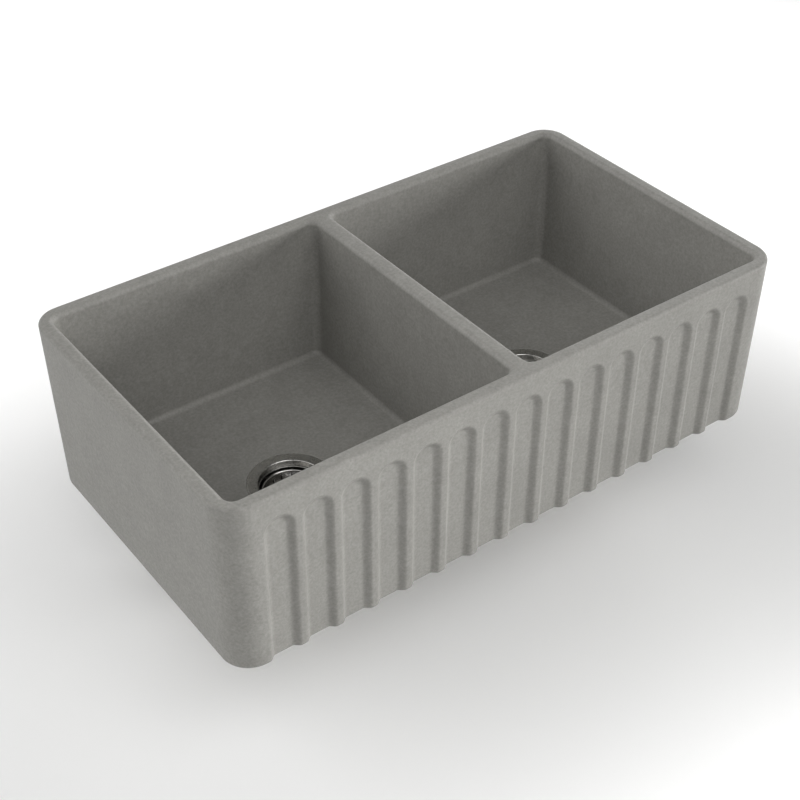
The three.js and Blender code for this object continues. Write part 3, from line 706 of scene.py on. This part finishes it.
def tailpiece():
    bore = TAIL_RADIUS - 1.5
    return turned([
        (bore, TAIL_TOP, 0.4),
        (bore, TAIL_END, 0.4),
        (TAIL_RADIUS, TAIL_END, 0.6),
        (TAIL_RADIUS, TAIL_FLANGE_BOTTOM, 0.6),
        (SPIGOT_RADIUS, TAIL_FLANGE_BOTTOM, 0.5),
        (SPIGOT_RADIUS, TAIL_TOP, 0.5),
    ], 96)


def stem_clip():
    """Spring clip, open on one side."""
    bm = bmesh.new()
    inner, outer, gap = BORE, BORE + 1.6, 0.5
    section = fillet_path([(inner, CLIP_BOTTOM, 0.2), (outer, CLIP_BOTTOM, 0.2), (outer, CLIP_TOP, 0.2),
                           (inner, CLIP_TOP, 0.2)], steps=2)
    rings = []
    for step in range(41):
        angle = gap + (TURN - 2 * gap) * step / 40
        rings.append([bm.verts.new((r * math.cos(angle), r * math.sin(angle), z)) for r, z, _ in section])
    for low, high in zip(rings, rings[1:]):
        for i in range(len(section)):
            j = (i + 1) % len(section)
            bm.faces.new((low[i], low[j], high[j], high[i]))
    bm.faces.new(rings[0])
    bm.faces.new(rings[-1][::-1])
    return bm


BASKET_SLOTS = 16
SLOT_WIDTH = 2.4
SLOT_START = 18.6
BASKET_HOLES = 6
HOLE_RADIUS = 2.2
HOLE_CIRCLE = 14
AROUND = 96


def basket():
    """Pressed cup with slots and holes, then its rolled rim."""
    bm = bmesh.new()
    grain = bm.verts.layers.float_vector.new("grain")
    path = [(r, z) for r, z, _ in fillet_path([
        (BORE, BASKET_BOTTOM), (BASKET_FOOT_RADIUS, BASKET_BOTTOM, BASKET_CORNER),
        (BASKET_RIM_RADIUS - 2 * BASKET_ROLL + 0.4, BASKET_RIM - 2 * BASKET_ROLL)], closed=False, steps=10)]
    runs = np.concatenate([[0], np.cumsum([math.dist(a, b) for a, b in zip(path, path[1:])])])
    radii, levels = np.array(path).T

    def surface(angle, s):
        r = float(np.interp(s, runs, radii))
        z = float(np.interp(s, runs, levels))
        vert = bm.verts.new((r * math.cos(angle), r * math.sin(angle), z))
        vert[grain] = (math.cos(angle), math.sin(angle), s)
        return vert

    def run_at_radius(r):
        return float(np.interp(r, radii, runs))

    def band(start, end, rows):
        rings = [[surface(TURN * (i + 0.5) / AROUND, s) for i in range(AROUND)]
                 for s in np.linspace(start, end, rows + 1)]
        for low, high in zip(rings, rings[1:]):
            for i in range(AROUND):
                j = (i + 1) % AROUND
                bm.faces.new((low[i], low[j], high[j], high[i]))

    def tiles(count, turn, start, end, side_rows, hole):
        across = AROUND // count
        half = math.pi / count
        for tile in range(count):
            middle = turn + TURN * tile / count
            rows = np.linspace(start, end, side_rows + 1)
            edge = [(-half + TURN * i / AROUND, start) for i in range(across)]
            edge += [(half, s) for s in rows[:-1]]
            edge += [(half - TURN * i / AROUND, end) for i in range(across)]
            edge += [(-half, s) for s in rows[:0:-1]]
            cut = hole(across, side_rows, edge)
            loops = []
            for t in (0, 0.45, 1):
                loops.append([surface(middle + a + (b - a) * t, s + (v - s) * t)
                              for (a, s), (b, v) in zip(edge, cut)])
            for low, high in zip(loops, loops[1:]):
                for i in range(len(edge)):
                    j = (i + 1) % len(edge)
                    bm.faces.new((low[i], low[j], high[j], high[i]))

    hole_run = run_at_radius(HOLE_CIRCLE)

    def round_hole(across, side_rows, edge):
        cut = []
        for angle, s in edge:
            way = math.atan2(s - hole_run, angle * HOLE_CIRCLE)
            cut.append((HOLE_RADIUS * math.cos(way) / HOLE_CIRCLE, hole_run + HOLE_RADIUS * math.sin(way)))
        return cut

    slot_low = run_at_radius(SLOT_START)
    slot_high = float(np.interp(BASKET_RIM - 4 * BASKET_ROLL, levels, runs))

    def slot(across, side_rows, edge):
        r = SLOT_WIDTH / 2
        places = [(r * math.cos(math.pi + math.pi * i / across),
                   slot_low + r + r * math.sin(math.pi + math.pi * i / across)) for i in range(across)]
        rows = np.linspace(slot_low + r, slot_high - r, side_rows + 1)
        places += [(r, s) for s in rows[:-1]]
        places += [(r * math.cos(math.pi * i / across), slot_high - r + r * math.sin(math.pi * i / across))
                   for i in range(across)]
        places += [(-r, s) for s in rows[:0:-1]]
        return [(u / float(np.interp(s, runs, radii)), s) for u, s in places]

    low_edge = run_at_radius(11)
    middle_edge = run_at_radius(17.2)
    high_edge = slot_high + 1.6
    band(0, low_edge, 3)
    tiles(BASKET_HOLES, 0, low_edge, middle_edge, 6, round_hole)
    tiles(BASKET_SLOTS, math.pi / BASKET_SLOTS, middle_edge, high_edge, 22, slot)
    band(high_edge, float(runs[-1]), 2)
    bmesh.ops.remove_doubles(bm, verts=bm.verts, dist=0.02)
    bmesh.ops.recalc_face_normals(bm, faces=bm.faces)
    outward = sum(face.normal.z * face.calc_area() for face in bm.faces
                  if face.calc_center_median().z < BASKET_FLOOR)
    bmesh.ops.solidify(bm, geom=bm.faces[:], thickness=BASKET_SHEET if outward < 0 else -BASKET_SHEET)
    roll = [(BASKET_RIM_RADIUS - BASKET_ROLL + BASKET_ROLL * math.cos(TURN * i / 16),
             BASKET_RIM - BASKET_ROLL + BASKET_ROLL * math.sin(TURN * i / 16), None) for i in range(16)]
    lathe(bm, roll, AROUND)
    return bm


def basket_stem():
    groove = STEM_RADIUS - 0.4
    return turned([
        (0, STEM_BOTTOM),
        (STEM_RADIUS, STEM_BOTTOM, 1.6),
        (STEM_RADIUS, CLIP_BOTTOM - 0.15, 0.05),
        (groove, CLIP_BOTTOM - 0.05, 0.05),
        (groove, CLIP_TOP + 0.05, 0.05),
        (STEM_RADIUS, CLIP_TOP + 0.15, 0.05),
        *threaded(CLIP_TOP + 0.3, RETAINER_TOP, STEM_RADIUS, 0.8, 0.35),
        (STEM_RADIUS, KNOB_BOTTOM + 17.7, 0.4),
        (0, KNOB_BOTTOM + 17.7),
    ], 48, closed=False)


def basket_knob():
    crown = KNOB_TOP - 4.5
    return turned([
        (0, KNOB_BOTTOM + 18),
        (BORE, KNOB_BOTTOM + 18, 0.3),
        (BORE, KNOB_BOTTOM, 0.2),
        (4.4, KNOB_BOTTOM, 0.4),
        (4.4, KNOB_BOTTOM + 1.6, 0.3),
        (3.7, KNOB_BOTTOM + 2.3, 0.4),
        (3.7, crown - 6.5, 3),
        (8.2, crown - 1.2, 1.2),
        (9, crown + 0.2, 0.6),
        (9, crown + 1.6, 1.2),
        (6.6, KNOB_TOP - 0.5, 2),
        (3.4, KNOB_TOP, 0.5),
        (2.6, KNOB_TOP - 0.5, 0.5),
        (0, KNOB_TOP - 0.6),
    ], 72, closed=False)


def stopper_seal():
    return turned([
        (BORE, SEAL_BOTTOM + SEAL_LIP, 0.2),
        (SEAL_RADIUS - 8, SEAL_BOTTOM + SEAL_LIP, 0.6),
        (SEAL_RADIUS - 4.5, SEAL_BOTTOM, 0.8),
        (SEAL_RADIUS - 1.2, SEAL_BOTTOM, 0.6),
        (SEAL_RADIUS, SEAL_BOTTOM + SEAL_LIP, 0.8),
        (SEAL_RADIUS - 1.2, SEAL_TOP, 0.6),
        (BORE, SEAL_TOP, 0.2),
    ], 96)


def stem_nut():
    across = STEM_NUT_CORNER * math.cos(math.pi / 6)

    def hexagon(theta, r, z):
        side = across / np.cos((theta + TURN / 12) % (TURN / 6) - TURN / 12)
        return np.minimum(side, r)
    return turned([
        (BORE, STEM_NUT_BOTTOM, 0.3),
        (across, STEM_NUT_BOTTOM, 0, hexagon),
        (STEM_NUT_CORNER, STEM_NUT_BOTTOM + 0.5, 0, hexagon),
        (STEM_NUT_CORNER, STEM_NUT_TOP - 0.5, 0, hexagon),
        (across, STEM_NUT_TOP, 0, hexagon),
        (BORE, STEM_NUT_TOP, 0.3),
    ], 96)


place_piece("sink_shell", sink_body(), "sink_body", "ceramic_body")

DRAIN_PIECES = [
    ("strainer_body", "strainer_steel", strainer_body),
    ("flange_gasket", "drain_rubber",
     lambda: flat_ring(DRAIN_HOLE_RADIUS, FLANGE_RADIUS - 0.3, GASKET_BOTTOM,
                       GASKET_BOTTOM + GASKET_THICKNESS, 0.3)),
    ("rubber_washer", "drain_rubber",
     lambda: flat_ring(CUP_RADIUS + SEAT_GAP, WASHER_RADIUS, WASHER_BOTTOM,
                       WASHER_BOTTOM + WASHER_THICKNESS, 0.6)),
    ("friction_ring", "drain_fibre",
     lambda: flat_ring(CUP_RADIUS + SEAT_GAP, RING_RADIUS, RING_BOTTOM, RING_BOTTOM + RING_THICKNESS, 0.2)),
    ("lock_nut", "drain_brass", lock_nut),
    ("tailpiece_washer", "drain_rubber",
     lambda: flat_ring(TAIL_RADIUS, SPIGOT_RADIUS, TAIL_WASHER_BOTTOM,
                       TAIL_WASHER_BOTTOM + TAIL_WASHER_THICKNESS, 0.4)),
    ("tailpiece", "tailpiece_chrome", tailpiece),
    ("coupling_nut", "drain_brass", coupling_nut),
    ("stem_clip", "stem_steel", stem_clip),
    ("basket", "basket_steel", basket),
    ("basket_stem", "stem_steel", basket_stem),
    ("basket_knob", "knob_chrome", basket_knob),
    ("stopper_seal", "seal_rubber", stopper_seal),
    ("seal_retainer", "stem_steel",
     lambda: flat_ring(BORE, RETAINER_RADIUS, RETAINER_BOTTOM, RETAINER_TOP, 0.25)),
    ("stem_nut", "drain_brass", stem_nut),
]
for side_name, side in (("left", -1), ("right", 1)):
    for piece_name, piece_slot, build in DRAIN_PIECES:
        place_piece(f"{side_name}_{piece_name}_shape", build(), f"{side_name}_{piece_name}", piece_slot,
                    (DRAIN_X[side], DRAIN_Y))


# ---- Camera, floor and light ----

def look_along(azimuth, elevation):
    a, e = math.radians(azimuth), math.radians(elevation)
    back = Vector((math.sin(a) * math.cos(e), -math.cos(a) * math.cos(e), math.sin(e)))
    return (-back).to_track_quat("-Z", "Y")


camera_data = bpy.data.cameras.new("camera")
camera_data.lens = 67.138
camera_data.sensor_width = 36
camera_data.clip_end = 100
camera = bpy.data.objects.new("camera", camera_data)
camera.location = (-0.95477, -1.25646, 1.30184)
camera.rotation_mode = "QUATERNION"
camera.rotation_quaternion = look_along(-36.557, 38.028) @ Quaternion((0, 0, 1), math.radians(0.044))
bpy.context.scene.collection.objects.link(camera)
bpy.context.scene.camera = camera
bpy.context.scene.view_settings.view_transform = "Standard"


FLOOR_LIGHT_HEIGHT = 0.75
FLOOR_LIGHT_SPREAD = 50


def add_floor():
    reach = 8
    level = CAD_BOX[0].z - 0.0004
    mesh = bpy.data.meshes.new("studio_floor")
    mesh.from_pydata([(-reach, -reach, level), (reach, -reach, level), (reach, reach, level),
                      (-reach, reach, level)], [], [(0, 1, 2, 3)])
    made = material("studio_floor", FLOOR_COLOR, roughness=0.9, Specular_IOR_Level=0.1)
    shade(made, FLOOR_COLOR, ranged(made, noise(made, object_place(made), 3, 2), 0.99, 1.01))
    mesh.materials.append(made)
    floor = bpy.data.objects.new("studio_floor", mesh)
    bpy.context.scene.collection.objects.link(floor)


def add_softbox(name, azimuth, elevation, distance, size, power):
    data = bpy.data.lights.new(name, "AREA")
    data.shape = "SQUARE"
    data.size = size
    data.energy = power
    lamp = bpy.data.objects.new(name, data)
    turn = look_along(azimuth, elevation)
    lamp.rotation_mode = "QUATERNION"
    lamp.rotation_quaternion = turn
    lamp.location = turn @ Vector((0, 0, distance)) + Vector((0, 0, HEIGHT / 2 * MM))
    lamp.visible_camera = False
    bpy.context.scene.collection.objects.link(lamp)


def add_far_light(name, azimuth, elevation, spread, strength):
    """A large studio light far off, as wide as its spread in degrees."""
    data = bpy.data.lights.new(name, "SUN")
    data.angle = math.radians(spread)
    data.energy = strength
    lamp = bpy.data.objects.new(name, data)
    lamp.rotation_mode = "QUATERNION"
    lamp.rotation_quaternion = look_along(azimuth, elevation)
    bpy.context.scene.collection.objects.link(lamp)


def add_floor_light(name, x, y, size, power):
    """A square lamp over the floor, aimed straight down beside the sink."""
    data = bpy.data.lights.new(name, "AREA")
    data.shape = "SQUARE"
    data.size = size
    data.spread = math.radians(FLOOR_LIGHT_SPREAD)
    data.energy = power
    lamp = bpy.data.objects.new(name, data)
    lamp.location = (x, y, FLOOR_LIGHT_HEIGHT)
    lamp.visible_camera = False
    bpy.context.scene.collection.objects.link(lamp)


add_floor()
add_far_light("front_right_light", 58, 5, 22, 2.75)
add_far_light("front_light", 0, 42, 55, 0.98)
add_far_light("left_light", -120, 42, 55, 0.88)
add_far_light("low_left_light", -120, 12, 50, 0.97)
add_far_light("low_back_light", 180, 12, 50, 0.8)
add_far_light("low_right_light", 120, 12, 50, 1.3)
add_softbox("front_softbox", 0, 55, 1.2, 0.7, 2.75)
add_softbox("left_softbox", -60, 55, 1.2, 0.7, 1.45)
add_floor_light("front_floor_light", 0, -1.1, 0.8, 2.0)
add_floor_light("left_floor_light", -0.9, -1.0, 0.8, 1.7)
add_floor_light("right_floor_light", 1.2, 0.1, 0.8, 1.4)
add_floor_light("back_floor_light", 0.6, 1.75, 2.6, 8.5)
world = bpy.data.worlds.new("studio")
world.use_nodes = True
world.node_tree.nodes["Background"].inputs["Color"].default_value = (1, 1, 1, 1)
world.node_tree.nodes["Background"].inputs["Strength"].default_value = 0.03
bpy.context.scene.world = world
